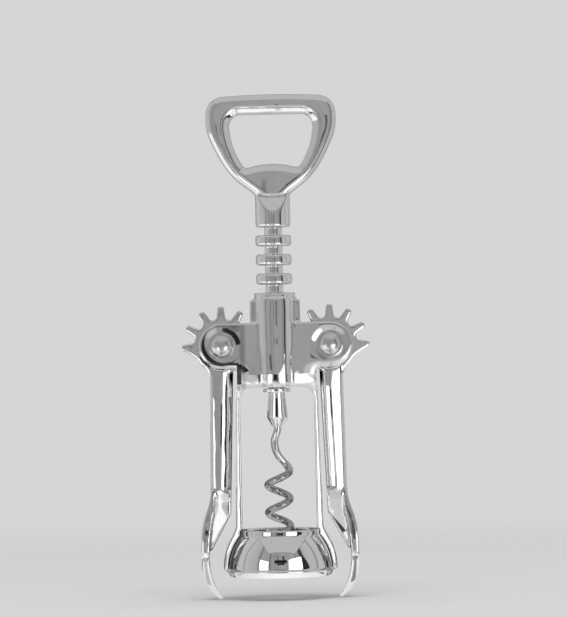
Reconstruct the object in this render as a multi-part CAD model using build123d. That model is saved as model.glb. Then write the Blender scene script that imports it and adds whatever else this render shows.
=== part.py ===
from build123d import *
import os
from math import asin, ceil, cos, degrees, floor, pi, radians, sin

# Wing corkscrew with a cap-lifter handle. Millimetres, +Z up along the spindle, the front faces -Y.
# The origin is the centre of the bell's mouth, in the plane of its rim. The levers hang down at rest.
# The right-hand side is drawn, and the left-hand side is its mirror image.

# Bottle bell
bell_height = 16.0
bell_bore_radius = 15.2
bell_bore_depth = 9.5
bell_rim_radius = 19.0
bell_rim_height = 2.3
bell_rim_undercut = 0.8
dome_foot_radius = 18.3
dome_top_radius = 14.0
dome_bulge = 1.1
bell_band_height = 1.9
cork_passage_radius = 12.5

# Frame: barrel, ears, legs and the straps that hold the bell
window_height = 49.0
window_corner_radius = 4.2
leg_inner = 12.8
leg_top_thickness = 1.3
leg_foot_thickness = 2.3
leg_depth = 7.4
leg_edge_radius = 0.5
strap_thickness = 1.3
barrel_clearance = 0.4
barrel_wall = 0.95
barrel_length = 32.5
barrel_nose = 2.1
barrel_nose_inset = 0.5
pivot_rise = 14.5
ear_boss_radius = 7.8
ear_thickness = 2.3
ear_edge_radius = 0.5
dish_radius = 7.0
dish_depth = 0.5
dish_land = 0.1
rib_reach = 1.1
rib_depth = 8.0
rib_rise = 7.8

# Ringed rack and the gears that drive it
ring_radius = 6.2
ring_root_radius = 3.05
ring_pitch = 6.6
ring_height = 3.8
ring_edge_radius = 1.1
gear_pitch_radius = 12.4
gear_tip_radius = 13.7
gear_root_radius = 9.4
gear_thickness = 5.0
gear_side_clearance = 0.2
gear_sweep_clearance = 0.4
mesh_depth = 1.2
mesh_offset = -0.3
tooth_count = 7
tooth_tip_width = 2.1
tooth_base_width = 3.3
tooth_tip_corner = 0.6
gullet_corner = 0.9

# Levers: widths are across the front view, drops are measured down from the pivot
arm_gap = 0.4
arm_width = 8.1
arm_taper = 1.0
arm_splay = 1.9
arm_depth = 7.0
arm_end_drop = 50.0
inner_bevel_width = 1.7
inner_bevel_depth = 1.5
ridge_bevel_width = 1.8
ridge_bevel_depth = 0.8
face_fall = 0.5
outer_bevel_width = 0.9
outer_bevel_depth = 0.9
boss_running_gap = 0.3
back_blend_drop = 15.5
web_corner_drop = 8.0
web_end_drop = 20.5
web_end_depth = 3.0
pad_length = 37.2
pad_width = 14.4
pad_thickness = 2.7
pad_tip_thickness = 0.8
pad_belly = 3.6
pad_curl = 2.5

# Pivot rivets
rivet_radius = 2.0
rivet_running_clearance = 0.05
rivet_head_radius = 4.0
rivet_head_height = 2.1
rivet_tail_radius = 3.3
rivet_tail_height = 1.0
rivet_tail_bevel = 0.4

# Spindle rod, handle with its cap-lifter loop, collar and worm
rod_radius = 1.9
rod_running_clearance = 0.05
press_grip = 0.01
rod_into_neck = 9.0
rod_into_collar = 6.5
end_float = 0.1
exposed_rack = 22.7
neck_radius = 6.0
neck_length = 11.0
neck_edge_radius = 0.8
facet_height = 5.9
facet_top_depth = 3.2
loop_height = 34.8
loop_depth = 7.5
loop_half_width = 22.5
loop_shoulder_drop = 8.2
loop_corner_reach = 6.0
loop_foot_inset = 0.2
loop_crown = 0.5
loop_rim_radius = 2.8
opening_half_width = 14.2
opening_height = 18.6
opening_top_band = 6.9
opening_foot_half_width = 9.2
opening_top_corner = 3.8
opening_foot_corner = 1.6
opening_bevel_width = 2.5
opening_bevel_depth = 1.6
lip_rise = 1.5
flange_radius = 4.7
flange_height = 1.2
flange_drop = 0.5
collar_top_radius = 2.8
collar_belly_radius = 3.6
collar_foot_radius = 1.75
collar_belly_drop = 10.0
collar_length = 13.3
wire_radius = 1.3
wire_into_collar = 4.5
coil_radius = 3.75
coil_pitch = 9.5
coil_turns = 2.4
lead_in_length = 15.3
coil_steps = 12
tip_slant = 25.0

# Places that follow from the sizes above
shoulder_z = bell_height + window_height
barrel_top_z = shoulder_z + barrel_length
bore_radius = ring_radius + barrel_clearance
barrel_radius = bore_radius + barrel_wall
pivot_x = ring_radius + gear_tip_radius - mesh_depth
pivot_z = shoulder_z + pivot_rise
groove_z = pivot_z + mesh_offset
tooth_angle = degrees(ring_pitch / gear_pitch_radius)
mesh_angle = degrees(mesh_offset / gear_pitch_radius)
leg_outer_top = leg_inner + leg_top_thickness
leg_outer_foot = leg_inner + leg_foot_thickness
ear_gap = gear_thickness + 2 * gear_side_clearance
ear_depth = ear_gap + 2 * ear_thickness
arm_inner_top = leg_outer_top + arm_gap
arm_inner_end = arm_inner_top + arm_splay
arm_outer_end = arm_inner_end + arm_width - arm_taper
arm_end_z = pivot_z - arm_end_drop
neck_z = barrel_top_z + exposed_rack
loop_z = neck_z + neck_length
handle_top_z = loop_z + loop_height
flange_z = shoulder_z - flange_drop
collar_foot_z = flange_z - collar_length
coil_top_z = collar_foot_z - lead_in_length


def on_front(sketch, depth):
    """Give a front-view sketch (x across, y up) its depth, half of it each side of the middle plane."""
    return extrude(Plane.XZ * sketch, amount=depth / 2, both=True)


def turned(half_section):
    """Turn a half section, drawn as radius across and height up, round the spindle's axis."""
    return revolve(Plane.XZ * half_section, axis=Axis.Z)


def both_sides(shape):
    return shape + mirror(shape, about=Plane.YZ)


def rect(x_low, x_high, z_low, z_high):
    return Pos((x_low + x_high) / 2, (z_low + z_high) / 2) * Rectangle(x_high - x_low, z_high - z_low)


def upright_rod(radius, z_low, z_high):
    return Pos(0, 0, (z_low + z_high) / 2) * Cylinder(radius, z_high - z_low)


def pivot_rod(radius, length):
    return Pos(pivot_x, 0, pivot_z) * Rot(90, 0, 0) * Cylinder(radius, length)


def bell_outside():
    """The bell's outer half section: a rim with a ledge above it, a full dome and a plain top band."""
    band_z = bell_height - bell_band_height
    dome_middle = ((dome_foot_radius + dome_top_radius) / 2 + dome_bulge, (bell_rim_height + band_z) / 2)
    rim = Polyline(
        (0, 0),
        (bell_rim_radius - bell_rim_undercut, 0),
        (bell_rim_radius, bell_rim_height),
        (dome_foot_radius, bell_rim_height),
    )
    dome = ThreePointArc((dome_foot_radius, bell_rim_height), dome_middle, (dome_top_radius, band_z))
    top = Polyline((dome_top_radius, band_z), (dome_top_radius, bell_height), (0, bell_height), (0, 0))
    return make_face(rim + dome + top)


def make_bell():
    bell = turned(bell_outside())
    bell -= upright_rod(bell_bore_radius, -1, bell_bore_depth)
    return bell - upright_rod(cork_passage_radius, -1, bell_height + 1)


def leg_face():
    """One leg, and the strap that runs on down the bell's flank to the ledge of its rim."""
    strap_outer = dome_foot_radius + strap_thickness
    bend_z = bell_height + 1
    flank = Spline(
        (leg_outer_foot, bend_z),
        ((leg_outer_foot + strap_outer) / 2 + dome_bulge - 0.2, bell_height * 0.65),
        (strap_outer, bell_rim_height),
        tangents=[(0.3, -1), (0, -1)],
    )
    straight_sides = Polyline(
        (strap_outer, bell_rim_height),
        (leg_inner, bell_rim_height),
        (leg_inner, shoulder_z + window_corner_radius),
        (leg_outer_top, shoulder_z + window_corner_radius),
        (leg_outer_top, shoulder_z),
        (leg_outer_foot, bend_z),
    )
    return make_face(flank + straight_sides)


def make_legs():
    leg = on_front(leg_face(), leg_depth)
    outer_edges = leg.edges().filter_by(lambda edge: edge.length > 5 and edge.center().X > leg_inner + 0.5)
    long_edges = outer_edges.filter_by(lambda edge: abs(edge.center().Y) > leg_depth / 2 - 0.1)
    leg = fillet(long_edges.filter_by(lambda edge: abs(edge.tangent_at(0.5).Z) > 0.5), leg_edge_radius)
    return both_sides(leg - turned(bell_outside()))


def window_corner_face():
    """The rounded filling in an upper corner of the window between the legs."""
    low_x = leg_inner - window_corner_radius
    low_z = shoulder_z - window_corner_radius
    corner = rect(low_x, leg_inner + leg_top_thickness / 2, low_z, shoulder_z)
    return corner - Pos(low_x, low_z) * Circle(window_corner_radius)


def ear_face():
    """The front view of one ear, from the spindle's axis out to the boss round the pivot."""
    upper = rect(0, pivot_x, pivot_z - ear_boss_radius, pivot_z + ear_boss_radius)
    lower = rect(0, leg_outer_top, shoulder_z, pivot_z)
    return upper + lower + Pos(pivot_x, pivot_z) * Circle(ear_boss_radius)


def make_ears():
    ear = on_front(ear_face(), ear_depth)
    rim_edges = ear.edges().filter_by(lambda edge: abs(edge.center().Y) > ear_depth / 2 - 0.01)
    ear = fillet(rim_edges.filter_by(lambda edge: edge.center().X > 1), ear_edge_radius)
    return both_sides(ear + on_front(window_corner_face(), leg_depth))


def make_barrel():
    nose_z = barrel_top_z - barrel_nose
    nose_radius = barrel_radius - barrel_nose_inset
    half_section = make_face(
        Polyline(
            (0, shoulder_z),
            (barrel_radius, shoulder_z),
            (barrel_radius, nose_z),
            (nose_radius, nose_z + barrel_nose_inset),
            (nose_radius, barrel_top_z),
            (0, barrel_top_z),
            close=True,
        )
    )
    rib = rect(0, barrel_radius + rib_reach, pivot_z, pivot_z + ear_boss_radius + rib_rise)
    return turned(half_section) + both_sides(on_front(rib, rib_depth))


def gear_pocket():
    """The space between the ears: round the gear's sweep, and open outwards for the lever's arm."""
    sweep = pivot_rod(gear_tip_radius + gear_sweep_clearance, ear_gap)
    far_x = pivot_x + 2 * ear_boss_radius
    mouth = rect(leg_outer_top, far_x, shoulder_z - window_corner_radius, barrel_top_z)
    return sweep + on_front(mouth, ear_gap)


def rivet_dish():
    """The shallow dish that the riveting leaves in an ear's face, round the land under the rivet's head."""
    face_y = ear_depth / 2
    land_radius = rivet_head_radius - dish_land
    half_section = make_face(
        Polyline(
            (land_radius, face_y - dish_depth),
            (dish_radius, face_y),
            (dish_radius, face_y + 1),
            (land_radius, face_y + 1),
            close=True,
        )
    )
    return Pos(pivot_x, 0, pivot_z) * Rot(90, 0, 0) * turned(half_section)


def make_frame():
    frame = make_barrel() + make_ears() + make_legs()
    dish = rivet_dish()
    frame -= both_sides(dish + mirror(dish, about=Plane.XZ))
    frame -= both_sides(gear_pocket())
    frame -= both_sides(pivot_rod(rivet_radius, 2 * ear_depth))
    return frame - upright_rod(bore_radius, shoulder_z - 1, barrel_top_z + 1)


def make_rivet():
    """A domed head in front, a shank through both ears and the lever, and a peened tail behind."""
    face_y = ear_depth / 2
    tail_y = face_y + rivet_tail_height
    head_y = face_y + rivet_head_height
    shank_and_tail = Polyline(
        (0, head_y),
        (0, -tail_y),
        (rivet_tail_radius - rivet_tail_bevel, -tail_y),
        (rivet_tail_radius, rivet_tail_bevel - tail_y),
        (rivet_tail_radius, -face_y),
        (rivet_radius, -face_y),
        (rivet_radius, face_y),
        (rivet_head_radius, face_y),
    )
    cap_radius = (rivet_head_radius**2 + rivet_head_height**2) / (2 * rivet_head_height)
    half_angle = asin(rivet_head_radius / cap_radius) / 2
    head_middle = (cap_radius * sin(half_angle), head_y - cap_radius * (1 - cos(half_angle)))
    head = ThreePointArc((rivet_head_radius, face_y), head_middle, (0, head_y))
    return Pos(pivot_x, 0, pivot_z) * Rot(90, 0, 0) * turned(make_face(shank_and_tail + head))


def tooth_face():
    """One gear tooth that points along +X from the gear's centre, with rounded tip corners."""
    foot = gear_root_radius - tooth_tip_width / 2
    tooth = make_face(
        Polyline(
            (foot, -tooth_base_width / 2),
            (gear_tip_radius, -tooth_tip_width / 2),
            (gear_tip_radius, tooth_tip_width / 2),
            (foot, tooth_base_width / 2),
            close=True,
        )
    )
    return fillet(tooth.vertices().sort_by(Axis.X)[-2:], tooth_tip_corner)


def make_gear():
    """The toothed sector: its first tooth stands in a groove of the rack, its last above the arm's back."""
    teeth = Circle(gear_root_radius)
    for index in range(tooth_count):
        teeth += Rot(0, 0, 180 - mesh_angle - index * tooth_angle) * tooth_face()
    at_root = teeth.vertices().filter_by(lambda corner: abs(Vector(corner).length - gear_root_radius) < 0.4)
    teeth = fillet(at_root, gullet_corner)
    return on_front(Pos(pivot_x, pivot_z) * teeth, gear_thickness)


def back_face():
    """The smooth sweep from the last tooth's flank down into the arm's outer edge."""
    arm_outer = arm_inner_top + arm_width - pivot_x
    last_tooth = radians(180 - mesh_angle - (tooth_count - 1) * tooth_angle)
    flank = tooth_tip_width / 2 - 0.1
    start = Vector(
        gear_tip_radius * cos(last_tooth) + flank * sin(last_tooth) - tooth_tip_corner,
        gear_tip_radius * sin(last_tooth) - flank * cos(last_tooth),
    )
    outer = Spline(
        (start.X, start.Y),
        (gear_tip_radius * 0.6, -gear_tip_radius * 0.33),
        (gear_tip_radius * 0.38, -gear_tip_radius * 0.6),
        (arm_outer, -back_blend_drop),
        tangents=[(-1, -0.5), (0, -1)],
    )
    inside = Polyline((arm_outer, -back_blend_drop), (0, -back_blend_drop), (0, 0), (start.X, start.Y))
    return Pos(pivot_x, pivot_z) * make_face(outer + inside)


def arm_section(drop, width):
    """The arm's cross-section: a face that falls away outwards, with two bevels inside and one outside."""
    inner = arm_inner_top + arm_splay * drop / arm_end_drop
    outer = inner + width
    ridge = arm_depth / 2
    ridge_foot = ridge - ridge_bevel_depth
    face_edge = ridge - face_fall
    bevel_x = inner + inner_bevel_width
    half_points = [
        (inner, ridge_foot - inner_bevel_depth),
        (bevel_x, ridge_foot),
        (bevel_x + ridge_bevel_width, ridge),
        (outer - outer_bevel_width, face_edge),
        (outer, face_edge - outer_bevel_depth),
    ]
    other_half = [(x, -y) for x, y in reversed(half_points)]
    return Pos(0, 0, pivot_z - drop) * make_face(Polyline(*half_points, *other_half, close=True))


def make_arm():
    start_drop = ear_boss_radius * 0.6
    sections = [
        arm_section(start_drop, arm_width),
        arm_section(arm_end_drop, arm_width - arm_taper),
    ]
    boss_clearance_radius = ear_boss_radius + boss_running_gap
    beside_ear = rect(0, pivot_x, pivot_z - boss_clearance_radius, pivot_z)
    arm = loft(sections, ruled=True) - pivot_rod(boss_clearance_radius, 2 * arm_depth)
    return arm - on_front(beside_ear, 2 * arm_depth)


def web_face():
    """The tapering web between the end of the arm and the thumb pad."""
    pad_inner = arm_outer_end + pad_belly * 0.4 - pad_thickness / 2
    return make_face(
        Polyline(
            (arm_inner_end, arm_end_z),
            (arm_inner_end + arm_splay * web_corner_drop / arm_end_drop, arm_end_z - web_corner_drop),
            (pad_inner, arm_end_z - web_end_drop),
            (pad_inner + pad_thickness / 2, arm_end_z - web_end_drop),
            (arm_outer_end - 0.2, arm_end_z + 0.5),
            (arm_inner_end, arm_end_z + 0.5),
            close=True,
        )
    )


def web_side():
    """The web's outline from the side: its faces slope in from the arm's depth to the pad's back."""
    half_top = arm_depth / 2 - 0.2
    half_end = web_end_depth / 2
    end_z = arm_end_z - web_end_drop
    outline = Polyline(
        (half_top, arm_end_z + 0.5),
        (half_end, end_z),
        (-half_end, end_z),
        (-half_top, arm_end_z + 0.5),
        close=True,
    )
    return extrude(Plane.YZ * make_face(outline), amount=arm_outer_end + pad_width)


def pad_edge_face():
    """The thumb pad seen edge-on: it bellies outwards, then curls back in to a thin tip."""
    tip_x = arm_outer_end - pad_curl
    tip_z = arm_end_z - pad_length
    outer = Spline(
        (arm_outer_end, arm_end_z + 0.5),
        (arm_outer_end + pad_belly * 0.67, arm_end_z - pad_length * 0.25),
        (arm_outer_end + pad_belly, arm_end_z - pad_length * 0.6),
        (arm_outer_end + pad_belly * 0.5, arm_end_z - pad_length * 0.87),
        (tip_x, tip_z),
        tangents=[(0, -1), (-1, -0.8)],
    )
    inner = Spline(
        (tip_x - pad_tip_thickness, tip_z + pad_tip_thickness / 2),
        (arm_outer_end + pad_belly * 0.72 - pad_thickness, arm_end_z - pad_length * 0.82),
        (arm_outer_end + pad_belly - pad_thickness, arm_end_z - pad_length * 0.6),
        (arm_outer_end + pad_belly * 0.6 - pad_thickness, arm_end_z - pad_length * 0.25),
        (arm_outer_end - pad_thickness / 2, arm_end_z + 0.5),
        tangents=[(0.6, 1), (0, 1)],
    )
    tip = Line((tip_x, tip_z), (tip_x - pad_tip_thickness, tip_z + pad_tip_thickness / 2))
    top = Line((arm_outer_end - pad_thickness / 2, arm_end_z + 0.5), (arm_outer_end, arm_end_z + 0.5))
    return make_face(outer + tip + inner + top)


def pad_leaf():
    """The thumb pad's outline from the side: it widens from the arm and ends round."""
    top_half = arm_depth / 2 - 0.3
    tip_z = arm_end_z - pad_length - 0.4
    outline = Spline(
        (top_half, arm_end_z + 1),
        (pad_width * 0.4, arm_end_z - pad_length * 0.3),
        (pad_width / 2, arm_end_z - pad_length * 0.65),
        (0, tip_z),
        (-pad_width / 2, arm_end_z - pad_length * 0.65),
        (-pad_width * 0.4, arm_end_z - pad_length * 0.3),
        (-top_half, arm_end_z + 1),
    )
    top = Line((-top_half, arm_end_z + 1), (top_half, arm_end_z + 1))
    leaf = Plane.YZ * make_face(outline + top)
    return Pos(arm_outer_end - pad_width, 0, 0) * extrude(leaf, amount=2 * pad_width)


def make_lever():
    pad = on_front(pad_edge_face(), 2 * pad_width) & pad_leaf()
    lever = make_gear() + on_front(back_face(), gear_thickness) + make_arm()
    lever += (on_front(web_face(), arm_depth) & web_side()) + pad
    return lever - pivot_rod(rivet_radius + rivet_running_clearance, 2 * arm_depth)


def make_rack_sleeve():
    """The sleeve whose rings the gears push; it slides with the spindle rod that turns inside it."""
    low_z = flange_z + end_float
    high_z = neck_z - end_float
    sleeve = upright_rod(ring_root_radius, low_z, high_z)
    first = ceil((low_z + ring_height / 2 - groove_z) / ring_pitch - 0.5)
    last = floor((high_z - ring_height / 2 - groove_z) / ring_pitch - 0.5)
    ring = fillet(Cylinder(ring_radius, ring_height).edges().filter_by(GeomType.CIRCLE), ring_edge_radius)
    for index in range(first, last + 1):
        sleeve += Pos(0, 0, groove_z + (index + 0.5) * ring_pitch) * ring
    return sleeve - upright_rod(rod_radius + rod_running_clearance, low_z - 1, high_z + 1)


def make_spindle_rod():
    return upright_rod(rod_radius, flange_z - rod_into_collar, neck_z + rod_into_neck)


def loop_face():
    """The front view of the cap-lifter loop: a rounded D that widens upwards from the neck."""
    shoulder = handle_top_z - loop_shoulder_drop
    foot_x = neck_radius - loop_foot_inset
    corner_x = loop_half_width - loop_corner_reach
    side = Spline(
        (foot_x, loop_z),
        (loop_half_width * 0.555, loop_z + loop_height * 0.155),
        (loop_half_width * 0.765, loop_z + loop_height * 0.33),
        (loop_half_width * 0.915, loop_z + loop_height * 0.52),
        (loop_half_width, shoulder),
        tangents=[(0.75, 0.66), (0, 1)],
    )
    corner = Spline(
        (loop_half_width, shoulder),
        (loop_half_width - 1.6, shoulder + loop_shoulder_drop * 0.68),
        (corner_x, handle_top_z - loop_crown),
        tangents=[(0, 1), (-1, 0.1)],
    )
    crown = ThreePointArc(
        (corner_x, handle_top_z - loop_crown), (0, handle_top_z), (-corner_x, handle_top_z - loop_crown)
    )
    foot = Line((-foot_x, loop_z), (foot_x, loop_z))
    halves = side + corner + mirror(side, about=Plane.YZ) + mirror(corner, about=Plane.YZ)
    return make_face(halves + crown + foot)


def opening_face():
    """The loop's opening: straight across the top, drawn in at the foot, with a raised lip."""
    top_z = handle_top_z - opening_top_band
    foot_z = top_z - opening_height
    middle = ((opening_half_width + opening_foot_half_width) / 2 + 1.2, foot_z + opening_height * 0.38)
    side = ThreePointArc((opening_foot_half_width, foot_z), middle, (opening_half_width, top_z))
    lip_ends = (-opening_foot_half_width, foot_z), (opening_foot_half_width, foot_z)
    lip = ThreePointArc(lip_ends[0], (0, foot_z + lip_rise), lip_ends[1])
    top = Line((opening_half_width, top_z), (-opening_half_width, top_z))
    outline = make_face(side + mirror(side, about=Plane.YZ) + lip + top)
    outline = fillet(outline.vertices().sort_by(Axis.Y)[-2:], opening_top_corner)
    return fillet(outline.vertices().sort_by(Axis.Y)[:2], opening_foot_corner)


def make_neck():
    """The round neck, with a flat in front and behind that slopes out to an arc below the loop."""
    top_z = loop_z + neck_radius * 0.2
    foot_z = loop_z - facet_height
    neck = upright_rod(neck_radius, neck_z, top_z)
    neck = fillet(neck.edges().filter_by(GeomType.CIRCLE).sort_by(Axis.Z)[:1], neck_edge_radius)
    far_y = neck_radius + 2
    beyond_flat = make_face(
        Polyline(
            (facet_top_depth, top_z + 1),
            (facet_top_depth, loop_z),
            (neck_radius, foot_z),
            (far_y, foot_z),
            (far_y, top_z + 1),
            close=True,
        )
    )
    cut = extrude(Plane.YZ * beyond_flat, amount=2 * neck_radius, both=True)
    return neck - cut - mirror(cut, about=Plane.XZ)


def bevel_opening(loop, front):
    """The wide bevel round the opening, on the loop's front or back face."""
    face = loop.faces().sort_by(Axis.Y)[0 if front else -1]
    edges = face.inner_wires()[0].edges()
    return chamfer(edges, opening_bevel_width, opening_bevel_depth, reference=face)


def make_handle():
    loop = on_front(loop_face(), loop_depth)
    rim_edges = loop.edges().filter_by(lambda edge: abs(edge.center().Y) > loop_depth / 2 - 0.01)
    loop = fillet(rim_edges.filter_by(lambda edge: edge.center().Z > loop_z + 1), loop_rim_radius)
    loop -= on_front(opening_face(), 2 * loop_depth)
    loop = bevel_opening(bevel_opening(loop, True), False)
    return loop + make_neck() - upright_rod(rod_radius - press_grip, neck_z - 1, neck_z + rod_into_neck)


def make_collar():
    """The flanged collar that joins the worm to the spindle rod."""
    belly_z = flange_z - collar_belly_drop
    half_section = make_face(
        Polyline(
            (0, collar_foot_z),
            (collar_foot_radius, collar_foot_z),
            (collar_belly_radius, belly_z),
            (collar_top_radius, flange_z - flange_height),
            (flange_radius, flange_z - flange_height),
            (flange_radius, flange_z),
            (0, flange_z),
            close=True,
        )
    )
    collar = turned(half_section)
    collar -= upright_rod(rod_radius - press_grip, flange_z - rod_into_collar, flange_z + 1)
    return collar - upright_rod(wire_radius - press_grip, collar_foot_z - 1, collar_foot_z + wire_into_collar)


def coil_point(turns):
    """A point of the worm's coil, that many turns down from its top."""
    angle = -2 * pi * turns
    return Vector(coil_radius * cos(angle), coil_radius * sin(angle), coil_top_z - coil_pitch * turns)


def lead_in_point(share):
    """A point between the coil's top and the collar, where the wire winds in to the axis."""
    angle = radians(200) * share ** 0.8
    radius = coil_radius * (1 - share) ** 0.9
    return Vector(radius * cos(angle), radius * sin(angle), coil_top_z + lead_in_length * share)


def coil_tangent(turns):
    return (coil_point(turns - 0.001) - coil_point(turns + 0.001)).normalized()


def make_worm():
    """A round wire: a straight shank in the collar, a lead-in, a right-handed coil and a point."""
    shank_top = Vector(0, 0, collar_foot_z + wire_into_collar)
    shank_foot = Vector(0, 0, collar_foot_z)
    shank = Line(shank_top, shank_foot)
    lead_in = Spline(
        shank_foot,
        lead_in_point(0.75),
        lead_in_point(0.5),
        lead_in_point(0.25),
        coil_point(0),
        tangents=[(0, 0, -1), -coil_tangent(0)],
    )
    coil = Spline(*[coil_point(step / coil_steps) for step in range(round(coil_turns * coil_steps) + 1)])
    wire = sweep(Plane(shank_top, z_dir=(0, 0, -1)) * Circle(wire_radius), path=Wire([shank, lead_in, coil]))
    return wire - beyond_tip()


def beyond_tip():
    """What is ground away from the wire's end, on a slant, to leave a point on the coil's outside."""
    end = coil_point(coil_turns)
    inward = Vector(-end.X, -end.Y, 0).normalized()
    slant = radians(tip_slant)
    normal = inward * cos(slant) - coil_tangent(coil_turns) * sin(slant)
    start = end - inward * wire_radius
    size = 6 * wire_radius
    return Plane(start, z_dir=normal) * Pos(0, 0, size / 2) * Box(size, size, size)


def left(shape):
    return mirror(shape, about=Plane.YZ)


os.makedirs("parts", exist_ok=True)
right_lever = make_lever()
right_rivet = make_rivet()
nodes = {
    "frame": make_frame(),
    "bottle_bell": make_bell(),
    "right_pivot_rivet": right_rivet,
    "left_pivot_rivet": left(right_rivet),
    "right_lever": right_lever,
    "left_lever": left(right_lever),
    "rack_sleeve": make_rack_sleeve(),
    "spindle_rod": make_spindle_rod(),
    "opener_handle": make_handle(),
    "worm_collar": make_collar(),
    "worm": make_worm(),
}
for name, shape in nodes.items():
    export_step(shape, f"parts/{name}.step")
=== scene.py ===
"""Wing corkscrew with a cap-lifter handle: its metals, and the light tent that they mirror.

Metres, +Z up along the spindle, the front faces -Y. Azimuths are in degrees, 0 in front and
positive to the right.
"""
import math

import bpy
from mathutils import Matrix, Vector


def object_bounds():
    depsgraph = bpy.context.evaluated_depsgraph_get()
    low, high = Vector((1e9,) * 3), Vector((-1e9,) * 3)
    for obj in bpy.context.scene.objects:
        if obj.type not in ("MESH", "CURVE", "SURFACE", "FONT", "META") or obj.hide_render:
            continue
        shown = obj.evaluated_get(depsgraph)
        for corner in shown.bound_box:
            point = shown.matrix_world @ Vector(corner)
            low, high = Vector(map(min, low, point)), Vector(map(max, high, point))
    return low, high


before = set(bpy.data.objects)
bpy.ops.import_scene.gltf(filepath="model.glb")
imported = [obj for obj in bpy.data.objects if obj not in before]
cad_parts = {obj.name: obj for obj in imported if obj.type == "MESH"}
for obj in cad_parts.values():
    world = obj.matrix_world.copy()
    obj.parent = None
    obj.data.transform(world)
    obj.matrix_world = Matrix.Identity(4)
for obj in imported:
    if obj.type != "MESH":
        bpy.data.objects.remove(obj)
cad_low, cad_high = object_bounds()

# The rivets that the levers turn about, and the middles of the arms, either side of the axis.
PIVOT_X, PIVOT_Z = 0.0187, 0.0795
ARM_X = 0.0235

# Grey level of the backdrop, and of the floor where the camera sees it.
BACKDROP = 0.67
# Grey levels of the tent's walls by azimuth, with dark seams between the walls.
TENT_WALLS = [
    (-180, 0.30), (-146, 0.40), (-142, 0.08), (-138, 0.60), (-92, 0.60), (-89, 0.30),
    (-86, 0.58), (-54, 0.47), (-49, 0.18), (-45, 0.38), (-28, 0.39), (-25, 0.16), (-21, 0.37),
    (-12, 0.33), (5, 0.41), (14, 0.36), (30, 0.40), (36, 0.27), (41, 0.38), (46, 0.20),
    (49, 0.04), (54, 0.04), (58, 0.45), (66, 0.56), (84, 0.56), (88, 0.25), (92, 0.58),
    (121, 0.60), (125, 0.22), (129, 0.62), (152, 0.45), (180, 0.30),
]
# The same on the pale table, close to the part and further out.
NEAR_TABLE = [
    (-180, 0.75), (-128, 0.72), (-90, 0.85), (-45, 0.98), (0, 1.20), (45, 1.05), (90, 0.90),
    (180, 0.75),
]
FAR_TABLE = [
    (-180, 0.45), (-128, 0.45), (-110, 1.00), (-60, 1.20), (-55, 0.90), (-51, 0.03),
    (-46, 0.03), (-43, 0.60), (0, 0.62), (42, 0.62), (45, 0.03), (54, 0.03), (58, 0.58),
    (100, 0.55), (125, 0.45), (180, 0.45),
]
# How steeply a mirrored ray has to fall to leave the tent's walls for the table.
TABLE_DIP = (0.16, 0.24)
# How far out the near table gives way to the far one, and the floor fades into the backdrop.
TABLE_BLEND, FLOOR_FADE = (0.10, 0.20), (0.20, 0.58)
# The floor's radius, how many sides it has, and how far below the part it lies.
FLOOR_RADIUS, FLOOR_SIDES, FLOOR_DROP = 0.6, 96, 0.0001
# The ceiling's height above the tent's middle and the side walls' distances, as shares of the
# distance to the front wall.
CEILING_RISE, LEFT_WALL, RIGHT_WALL = 0.80, 0.58, 0.73
# The ceiling's grey level, and how softly it meets the walls.
TENT_CEILING, CEILING_BLEND = 0.56, 0.02
# The seam between walls and ceiling: its grey level, how much of it shows, and its reach.
SEAM_GREY, SEAM_SHARE, SEAM_REACH = 0.15, 0.5, 0.03

# Heights of the cards that lie flat: beside the pads, on the table, and lowest of all.
BY_PADS, ON_TABLE, LOWEST = -0.0045, -0.005, -0.006
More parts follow.
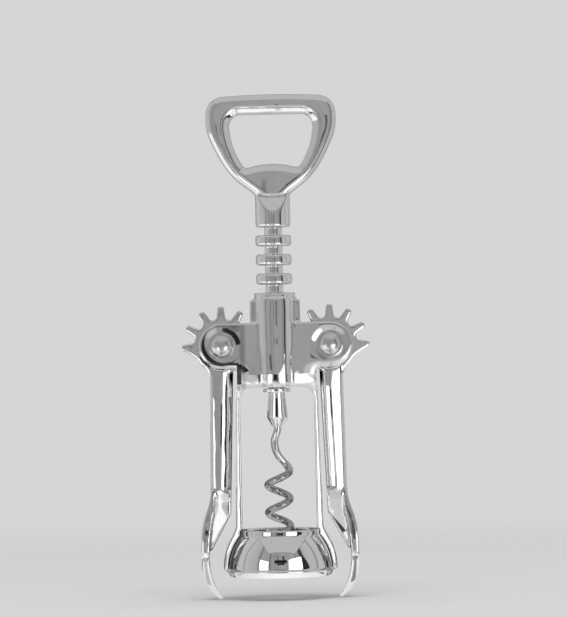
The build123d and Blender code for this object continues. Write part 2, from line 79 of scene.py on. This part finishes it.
# Cards that stand or lie round the part. Each has a grey level, and corners as azimuth,
# distance from the axis and height.
CARDS = {
    "left_window": (2.0, [
        (-45, 0.150, 0.0), (-26, 0.158, 0.0), (-26, 0.158, 0.053), (-45, 0.150, 0.060),
    ]),
    "right_window": (2.0, [
        (17, 0.155, 0.0), (47, 0.155, 0.0), (47, 0.155, 0.074), (17, 0.155, 0.062),
    ]),
    "camera_shade": (0.02, [
        (-12, 0.060, 0.0175), (12, 0.060, 0.0175), (12, 0.060, 0.0235), (-12, 0.060, 0.0235),
    ]),
    "camera_foot": (0.02, [
        (-7, 0.060, 0.0140), (7, 0.060, 0.0140), (7, 0.060, 0.0175), (-7, 0.060, 0.0175),
    ]),
    "barrel_shade": (0.02, [
        (-19, 0.080, 0.043), (10, 0.079, 0.043), (8, 0.0950, 0.054), (-16, 0.096, 0.054),
    ]),
    "ear_shade": (0.02, [
        (-31, 0.0515, 0.070), (-24, 0.0495, 0.070), (-24, 0.0540, 0.076), (-31, 0.0565, 0.076),
    ]),
    "left_mat": (1.20, [
        (-26, 0.083, ON_TABLE), (-6, 0.075, ON_TABLE), (-2, 0.250, ON_TABLE),
        (-10, 0.254, ON_TABLE),
    ]),
    "right_mat": (0.72, [
        (7, 0.080, ON_TABLE), (24, 0.088, ON_TABLE), (13, 0.165, ON_TABLE),
        (4, 0.160, ON_TABLE),
    ]),
    "left_pad_mat": (0.60, [
        (-75, 0.0247, BY_PADS), (-77, 0.0287, BY_PADS), (-25, 0.066, BY_PADS),
        (-22, 0.0645, BY_PADS),
    ]),
    "right_pad_mat": (0.30, [
        (75, 0.0247, BY_PADS), (77, 0.0287, BY_PADS), (25, 0.066, BY_PADS),
        (22, 0.0645, BY_PADS),
    ]),
    "left_pad_shade": (0.20, [
        (-7.6, 0.302, 0.088), (-4.2, 0.301, 0.088), (-4.2, 0.301, 0.162), (-7.6, 0.302, 0.162),
    ]),
    "right_pad_shade": (0.08, [
        (3.6, 0.301, 0.088), (9.0, 0.302, 0.088), (9.0, 0.302, 0.170), (3.6, 0.301, 0.170),
    ]),
    "right_flag": (0.03, [(50, 0.160, ON_TABLE), (66, 0.160, ON_TABLE), (45, 0.160, 0.125)]),
    "left_flag": (0.03, [
        (-117, 0.069, LOWEST), (-145, 0.110, LOWEST), (-145, 0.110, 0.052),
        (-117, 0.069, 0.052),
    ]),
    "low_flag": (0.03, [
        (-65, 0.055, LOWEST), (-115, 0.055, LOWEST), (-105, 0.110, LOWEST),
        (-75, 0.110, LOWEST),
    ]),
    "apron": (0.35, [
        (-50, 0.062, LOWEST), (50, 0.062, LOWEST), (40, 0.090, LOWEST), (-40, 0.090, LOWEST),
    ]),
}

# The fine grain of every metal: noise scale, noise detail, depth, and what it adds to the
# roughness.
GRAIN_SCALE, GRAIN_DETAIL, GRAIN_DEPTH, GRAIN_HAZE = 1400.0, 3.0, 0.000004, 0.04
# Where in the grain the pits lie, and their shade as a share of the metal's colour.
PITS, PIT_SHADE = (0.52, 0.72), 0.55
# Painted shade: its colour, and what it adds to the roughness where it is painted.
PAINTED_SHADE_COLOUR, PAINTED_SHADE_HAZE = (0.06, 0.06, 0.06, 1.0), 0.15
# How finely the rolled edges are worked out.
EDGE_SAMPLES = 16
# How softly a patch of painted shade ends, across and upwards.
CRISP, BLURRED = (0.00015, 0.00015), (0.0008, 0.0006)

PLATING = (0.80, 0.81, 0.80)
RIVET_STEEL = (0.72, 0.72, 0.71)
WORM_STEEL = (0.66, 0.66, 0.65)

# The castings' skin: the size of its grain, how hard the polishing wheel presses, and how often
# it goes over each casting.
SKIN_GRAIN, WHEEL_PRESSURE = 0.00025, 0.5
WHEEL_PASSES = {
    "frame": 5, "left_lever": 8, "right_lever": 8, "opener_handle": 10, "bottle_bell": 6,
}


class Value:
    """A socket of a shader. Arithmetic on values adds Math nodes."""

    def __init__(self, shader, socket):
        self.shader, self.socket = shader, socket

    def __add__(self, other):
        return self.shader.math("ADD", self, other)

    def __radd__(self, other):
        return self.shader.math("ADD", other, self)

    def __sub__(self, other):
        return self.shader.math("SUBTRACT", self, other)

    def __rsub__(self, other):
        return self.shader.math("SUBTRACT", other, self)

    def __mul__(self, other):
        return self.shader.math("MULTIPLY", self, other)

    def __rmul__(self, other):
        return self.shader.math("MULTIPLY", other, self)

    def __truediv__(self, other):
        return self.shader.math("DIVIDE", self, other)

    def __rtruediv__(self, other):
        return self.shader.math("DIVIDE", other, self)

    def __lt__(self, other):
        return self.shader.math("LESS_THAN", self, other)

    def __gt__(self, other):
        return self.shader.math("GREATER_THAN", self, other)

    def __abs__(self):
        return self.shader.math("ABSOLUTE", self)


class Shader:
    """The node tree of one material or of the world."""

    def __init__(self, owner):
        owner.use_nodes = True
        self.tree = owner.node_tree
        self.tree.nodes.clear()

    def node(self, kind, settings=None, inputs=None, output=0):
        """Adds a node: first its settings, then the values or links of its sockets."""
        made = self.tree.nodes.new(kind)
        for name, setting in (settings or {}).items():
            if name == "stops":
                self.set_stops(made.color_ramp.elements, setting)
            else:
                setattr(made, name, setting)
        for name, value in (inputs or {}).items():
            if isinstance(value, Value):
                self.tree.links.new(value.socket, made.inputs[name])
            else:
                made.inputs[name].default_value = value
        return Value(self, made.outputs[output]) if made.outputs else None

    def math(self, operation, *operands):
        return self.node("ShaderNodeMath", {"operation": operation}, dict(enumerate(operands)))

    def split(self, vector):
        """The x, y and z of a vector."""
        parts = self.node("ShaderNodeSeparateXYZ", {}, {0: vector}).socket.node.outputs
        return [Value(self, socket) for socket in parts]

    def mix(self, factor, first, second):
        """Mixes two colours, which are sockets 6 and 7 of the Mix node, with output 2."""
        inputs = {0: factor, 6: first, 7: second}
        return self.node("ShaderNodeMix", {"data_type": "RGBA"}, inputs, output=2)

    @staticmethod
    def set_stops(elements, stops):
        while len(elements) < len(stops):
            elements.new(1.0)
        for element, (place, colour) in zip(elements, stops):
            element.position, element.color = place, colour


def smoothstep(value, low, high):
    """Rises smoothly from 0 at low to 1 at high."""
    span = {"Value": value, "From Min": low, "From Max": high}
    return value.shader.node("ShaderNodeMapRange", {"interpolation_type": "SMOOTHSTEP"}, span)


def ramp(value, low, high, start, end):
    """Runs straight from start to end between low and high, and is level outside them."""
    span = {"Value": value, "From Min": low, "From Max": high, "To Min": start, "To Max": end}
    return value.shader.node("ShaderNodeMapRange", {}, span)


def within(value, low, high, soft):
    """1 between low and high, 0 outside them."""
    risen = smoothstep(value, low - soft, low + soft)
    return risen - smoothstep(value, high - soft, high + soft)


def patch(x, z, across, upwards, soft):
    """1 inside an upright rectangle, 0 outside it."""
    return within(x, *across, soft[0]) * within(z, *upwards, soft[1])


def distance(across, upwards):
    return across.shader.math("SQRT", across * across + upwards * upwards)


def largest(first, *others):
    for other in others:
        first = first.shader.math("MAXIMUM", first, other)
    return first


def whole_turn(x, y):
    """The azimuth as a share of a whole turn, 0.5 in front."""
    return x.shader.math("ARCTAN2", x, 0.0 - y) / math.tau + 0.5


def grey(level):
    return (level, level, level, 1.0)


def ring_of_greys(turn, stops):
    """Grey levels that change with the azimuth."""
    placed = [(0.5 + degrees / 360.0, grey(level)) for degrees, level in stops]
    return turn.shader.node("ShaderNodeValToRGB", {"stops": placed}, {"Fac": turn})


def metal(name, colour, roughness, edge_roll, wave, pitting=0.0, fall=None, painted_shade=None):
    """Polished metal: rolled edges, slow waves from the polishing wheel and a fine pitted grain.

    A wave is a depth and a noise scale. fall gives heights that tilt the faces, and the last
    argument is a mask of painted shade, where the colour turns near-black and rougher.
    """
    depth, scale = wave
    material = bpy.data.materials.new(name)
    shader = Shader(material)
    place = shader.node("ShaderNodeTexCoord", output="Object")
    noise = {"Vector": place, "Scale": scale, "Detail": 1.0}
    waves = shader.node("ShaderNodeTexNoise", {}, noise)
    noise = {"Vector": place, "Scale": GRAIN_SCALE, "Detail": GRAIN_DETAIL}
    grain = shader.node("ShaderNodeTexNoise", {}, noise)
    radius = {"Radius": edge_roll(shader, place)}
    rolled = shader.node("ShaderNodeBevel", {"samples": EDGE_SAMPLES}, radius)
    height = depth * waves + GRAIN_DEPTH * grain
    if fall:
        height = height + fall(shader, place)
    relief = {"Height": height, "Distance": 1.0, "Strength": 1.0, "Normal": rolled}
    bump = shader.node("ShaderNodeBump", {}, relief)
    pits = smoothstep(grain, *PITS) * pitting
    pit_colour = tuple(PIT_SHADE * channel for channel in colour)
    base = shader.mix(pits, (*colour, 1.0), (*pit_colour, 1.0))
    haze = roughness + GRAIN_HAZE * grain
    # Painted shade: the mask darkens the colour to near-black and makes it rougher.
    if painted_shade:
        painted = painted_shade(shader, place)
        base = shader.mix(painted, base, PAINTED_SHADE_COLOUR)
        haze = haze + PAINTED_SHADE_HAZE * painted
    inputs = {"Base Color": base, "Metallic": 1.0, "Roughness": haze, "Normal": bump}
    surface = shader.node("ShaderNodeBsdfPrincipled", {}, inputs)
    shader.node("ShaderNodeOutputMaterial", {}, {"Surface": surface})
    return material


def even_roll(radius):
    return lambda shader, place: radius


def frame_roll(shader, place):
    """The ears and barrel are rounder at their edges than the thin legs, mostly at their foot."""
    legs, foot, ears = 0.0008, 0.0032, 0.0015
    legs_end, ears_start = (0.060, 0.066), (0.074, 0.082)
    _, _, z = shader.split(place)
    from_legs, to_ears = smoothstep(z, *legs_end), smoothstep(z, *ears_start)
    return legs + (foot - legs) * from_legs - (foot - ears) * to_ears


def web_fall(shader, place):
    """Below the ears the casting's faces fall outwards from the barrel, and to their foot."""
    barrel_side, slope, below_ears = 0.0062, 0.20, (0.065, 0.075)
    foot, foot_top, foot_depth = 0.062, 0.0695, 0.00075
    x, _, z = shader.split(place)
    beside = shader.math("MAXIMUM", abs(x) - barrel_side, 0.0)
    outwards = slope * beside * (1.0 - smoothstep(z, *below_ears))
    return ramp(z, foot, foot_top, -foot_depth, 0.0) - outwards


def painted_shade_left_ear(shader, place):
    """Painted shade on the left ear's lower edge and in the corner by the leg and, lightly, in a
    strip beside the dish and above it. In front only.
    """
    x, y, z = shader.split(place)
    from_pivot = distance(x + PIVOT_X, z - PIVOT_Z)
    from_inner_middle = distance(x + 0.0175, z - 0.0807)
    inside_rim = 1.0 - smoothstep(from_pivot, 0.0067, 0.0071)
    crescent = inside_rim * smoothstep(from_inner_middle, 0.0067, 0.0073)
    edge = patch(x, z, (-0.0174, -0.0130), (0.0728, 0.0737), CRISP)
    corner = patch(x, z, (-0.0136, -0.0120), (0.0662, 0.0732), CRISP)
    beside_dish = patch(x, z, (-0.0124, -0.0106), (0.0650, 0.0868), BLURRED)
    above_dish = patch(x, z, (-0.0205, -0.0118), (0.0842, 0.0868), BLURRED)
    # The strip beside the dish and above it gets a fainter painted shade.
    faint_shade_share, front = 0.40, -0.003
    faint_shade = faint_shade_share * largest(beside_dish, above_dish)
    return largest(crescent, edge, corner, faint_shade) * (y < front)


def painted_shade_right_plate(shader, place):
    """Painted shade in a wedge along the slanting lower edge of the right lever's plate. In front
    only.
    """
    top_x, top_z, cosine, sine, flare = 0.0168, 0.02175, 0.868, 0.496, 0.2
    x, y, z = shader.split(place)
    across, upwards = x - top_x, z - top_z
    inwards = cosine * across + sine * upwards
    down = sine * across - cosine * upwards
    outer_side = smoothstep(inwards, 0.0003, 0.0006)
    inner_side = 1.0 - smoothstep(inwards - flare * down, 0.0, 0.0004)
    foot = 1.0 - smoothstep(down, 0.0082, 0.0094)
    return outer_side * inner_side * foot * (y < 0.0)


def painted_shade_rivet_heads(shader, place):
    """Painted shade on the rivets' heads, round their lower edge and down their middle."""
    share, middle_share = 0.55, 0.7
    x, y, z = shader.split(place)
    across, down = abs(x) - PIVOT_X, PIVOT_Z - z
    lower = smoothstep(down, 0.0002, 0.0014)
    ring = smoothstep(distance(across, down), 0.0030, 0.0037)
    middle = middle_share * (1.0 - smoothstep(abs(across), 0.0002, 0.0009))
    return share * lower * largest(ring, middle) * (y < 0.0)


def collar_fall(shader, place):
    """The collar's taper is slighter to the eye than its edges make it."""
    slope = 0.13
    _, _, z = shader.split(place)
    return slope * z


def arm_turn(middle, nod):
    """An arm's faces are turned a little to the right about its middle, and nod by a share of
    the height.
    """
    turn, pad_end, gear_end = 0.06, (0.018, 0.026), (0.064, 0.073)
    bottom, top = 0.034, 0.100

    def turned(shader, place):
        x, _, z = shader.split(place)
        along_arm = smoothstep(z, *pad_end) - smoothstep(z, *gear_end)
        raised = ramp(z, bottom, top, 0.0, nod * (top - bottom))
        return raised - turn * (x - middle) * along_arm
    return turned


def painted_shade_behind_straps(shader, place):
    """Painted shade on the bell behind the two straps, over a wider band on the left."""
    half_width, more_on_left, soft, above_rim = 0.28, 0.16, 0.03, (0.0022, 0.0034)
    x, y, z = shader.split(place)
    from_strap = shader.math("ARCTAN2", abs(y), abs(x))
    past_band = from_strap - (half_width + more_on_left * (x < 0.0))
    return (1.0 - smoothstep(past_band, -soft, soft)) * smoothstep(z, *above_rim)


def painted_shade_round_coil(shader, place):
    """Painted shade all round the coil, below the bright wire that leaves the collar."""
    share, lead_in = 0.40, (0.0350, 0.0395)
    _, _, z = shader.split(place)
    return share * (1.0 - smoothstep(z, *lead_in))


finishes = {
    "frame": metal(
        "chrome_casting", PLATING, roughness=0.02, edge_roll=frame_roll, wave=(0.0004, 90.0),
        pitting=0.15, fall=web_fall, painted_shade=painted_shade_left_ear,
    ),
    "bell": metal(
        "chrome_bell", PLATING, roughness=0.015, edge_roll=even_roll(0.0010),
        wave=(0.0001, 60.0), painted_shade=painted_shade_behind_straps,
    ),
    "left": metal(
        "chrome_left", PLATING, roughness=0.03, edge_roll=even_roll(0.0012),
        wave=(0.0003, 110.0), pitting=0.15, fall=arm_turn(-ARM_X, nod=0.0),
    ),
    "right": metal(
        "chrome_right", PLATING, roughness=0.03, edge_roll=even_roll(0.0012),
        wave=(0.0003, 110.0), pitting=0.15, fall=arm_turn(ARM_X, nod=0.05),
        painted_shade=painted_shade_right_plate,
    ),
    "handle": metal(
        "chrome_handle", PLATING, roughness=0.03, edge_roll=even_roll(0.0014),
        wave=(0.0004, 90.0), pitting=0.15,
    ),
    "collar": metal(
        "chrome_collar", PLATING, roughness=0.03, edge_roll=even_roll(0.0006),
        wave=(0.0001, 200.0), fall=collar_fall,
    ),
    "turned": metal(
        "chrome_turned", PLATING, roughness=0.03, edge_roll=even_roll(0.0010),
        wave=(0.0001, 200.0),
    ),
    "rivet": metal(
        "rivet_steel", RIVET_STEEL, roughness=0.24, edge_roll=even_roll(0.0003),
        wave=(0.0001, 200.0), pitting=0.1, painted_shade=painted_shade_rivet_heads,
    ),
    "worm": metal(
        "worm_steel", WORM_STEEL, roughness=0.06, edge_roll=even_roll(0.0003),
        wave=(0.0002, 300.0), pitting=0.4, painted_shade=painted_shade_round_coil,
    ),
}
dressed = {
    "frame": "frame", "bottle_bell": "bell", "left_lever": "left", "right_lever": "right",
    "opener_handle": "handle", "rack_sleeve": "turned", "worm_collar": "collar",
    "spindle_rod": "turned", "left_pivot_rivet": "rivet", "right_pivot_rivet": "rivet",
    "worm": "worm",
}
for node_name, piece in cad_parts.items():
    piece.data.materials.clear()
    piece.data.materials.append(finishes[dressed[node_name]])


def cast_skin(node, passes):
    """Rounds the edges and corners of a casting, as plating and the polishing wheel leave them."""
    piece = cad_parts[node]
    skin = piece.modifiers.new("casting_skin", "REMESH")
    skin.mode, skin.voxel_size, skin.use_smooth_shade = "VOXEL", SKIN_GRAIN, True
    wheel = piece.modifiers.new("polishing", "SMOOTH")
    wheel.factor, wheel.iterations = WHEEL_PRESSURE, passes


for casting, wheel_passes in WHEEL_PASSES.items():
    cast_skin(casting, wheel_passes)


def new_object(name, data):
    made = bpy.data.objects.new(name, data)
    bpy.context.scene.collection.objects.link(made)
    return made


def flat_shape(name, corners):
    """An object with one face."""
    mesh = bpy.data.meshes.new(name)
    mesh.from_pydata(corners, [], [tuple(range(len(corners)))])
    return new_object(name, mesh)


def on_circle(azimuth, reach, height):
    turn = math.radians(azimuth)
    return (reach * math.sin(turn), -reach * math.cos(turn), height)


def make_world():
    """A pale tent with dark seams over a pale table. The camera sees only the backdrop."""
    world = bpy.data.worlds.new("light_tent")
    bpy.context.scene.world = world
    shader = Shader(world)
    x, y, z = shader.split(shader.node("ShaderNodeTexCoord", output="Generated"))
    turn = whole_turn(x, y)
    walls, table = ring_of_greys(turn, TENT_WALLS), ring_of_greys(turn, FAR_TABLE)
    lower = shader.mix(smoothstep(0.0 - z, *TABLE_DIP), walls, table)
    far_wall = largest(x / RIGHT_WALL, 0.0 - x / LEFT_WALL, abs(y))
    over_wall = z - CEILING_RISE * far_wall
    is_ceiling = smoothstep(over_wall, -CEILING_BLEND, CEILING_BLEND)
    upper = shader.mix(is_ceiling, lower, grey(TENT_CEILING))
    seam = 1.0 - smoothstep(abs(over_wall), 0.0, SEAM_REACH)
    lit = shader.mix(seam * SEAM_SHARE, upper, grey(SEAM_GREY))
    seen_plain = shader.node("ShaderNodeLightPath", output="Is Camera Ray")
    shown = shader.mix(seen_plain, lit, grey(BACKDROP))
    background = shader.node("ShaderNodeBackground", {}, {"Color": shown})
    shader.node("ShaderNodeOutputWorld", {}, {"Surface": background})


def make_card(name, level, corners):
    """A card that only shows as a reflection in the metal."""
    card = flat_shape(name, [on_circle(*corner) for corner in corners])
    card.visible_camera = card.visible_diffuse = False
    card.visible_shadow = card.visible_transmission = False
    material = bpy.data.materials.new(name)
    shader = Shader(material)
    glow = shader.node("ShaderNodeEmission", {}, {"Color": grey(1.0), "Strength": level})
    shader.node("ShaderNodeOutputMaterial", {}, {"Surface": glow})
    card.data.materials.append(material)


def make_lamp():
    """An overhead panel. Its power follows from the radiance that its face shows."""
    place, side, radiance = Vector((0.0, -0.3, 1.4)), 1.4, 2.2
    panel = bpy.data.lights.new("overhead_panel", "AREA")
    panel.shape = "RECTANGLE"
    panel.size = panel.size_y = side
    panel.energy = radiance * math.pi * side * side
    lamp = new_object("overhead_panel", panel)
    lamp.visible_camera = lamp.visible_glossy = False
    towards_part = (-place).to_track_quat("-Z", "Y").to_matrix().to_4x4()
    lamp.matrix_world = Matrix.Translation(place) @ towards_part


def make_camera():
    """A long lens, square to the front, that leans a little as the part does."""
    distance_off, width, lean = 1.5, 0.2129, math.radians(1.3)
    middle_x, middle_z = 0.00297, 0.09204
    data = bpy.data.cameras.new("camera")
    camera = new_object("camera", data)
    bpy.context.scene.camera = camera
    data.sensor_width = 36.0
    data.lens = data.sensor_width * distance_off / width
    data.clip_start, data.clip_end = 0.01, 20.0
    right = Vector((math.cos(lean), 0.0, -math.sin(lean)))
    up = Vector((math.sin(lean), 0.0, math.cos(lean)))
    turn = Matrix((right, up, Vector((0.0, -1.0, 0.0)))).transposed().to_4x4()
    camera.matrix_world = Matrix.Translation((middle_x, -distance_off, middle_z)) @ turn


def make_floor():
    """A pale round floor that fades into the backdrop towards its rim."""
    rim, height = [], cad_low.z - FLOOR_DROP
    for side in range(FLOOR_SIDES):
        turn = side * math.tau / FLOOR_SIDES
        rim.append((FLOOR_RADIUS * math.cos(turn), FLOOR_RADIUS * math.sin(turn), height))
    floor = flat_shape("floor", rim)
    material = bpy.data.materials.new("pale_floor")
    shader = Shader(material)
    x, y, _ = shader.split(shader.node("ShaderNodeTexCoord", output="Object"))
    reach, turn = distance(x, y), whole_turn(x, y)
    near, far = ring_of_greys(turn, NEAR_TABLE), ring_of_greys(turn, FAR_TABLE)
    matt = shader.node("ShaderNodeBsdfDiffuse", {}, {"Color": grey(BACKDROP)})
    table = shader.mix(smoothstep(reach, *TABLE_BLEND), near, far)
    mirrored = shader.node("ShaderNodeEmission", {}, {"Color": table})
    in_metal = shader.node("ShaderNodeLightPath", output="Is Glossy Ray")
    seen = shader.node("ShaderNodeMixShader", {}, {0: in_metal, 1: matt, 2: mirrored})
    clear = shader.node("ShaderNodeBsdfTransparent")
    faded = {0: smoothstep(reach, *FLOOR_FADE), 1: seen, 2: clear}
    surface = shader.node("ShaderNodeMixShader", {}, faded)
    shader.node("ShaderNodeOutputMaterial", {}, {"Surface": surface})
    floor.data.materials.append(material)


make_world()
for card_name, (card_level, card_corners) in CARDS.items():
    make_card(card_name, card_level, card_corners)
make_lamp()
make_camera()
make_floor()
bpy.context.scene.view_settings.view_transform = "Standard"
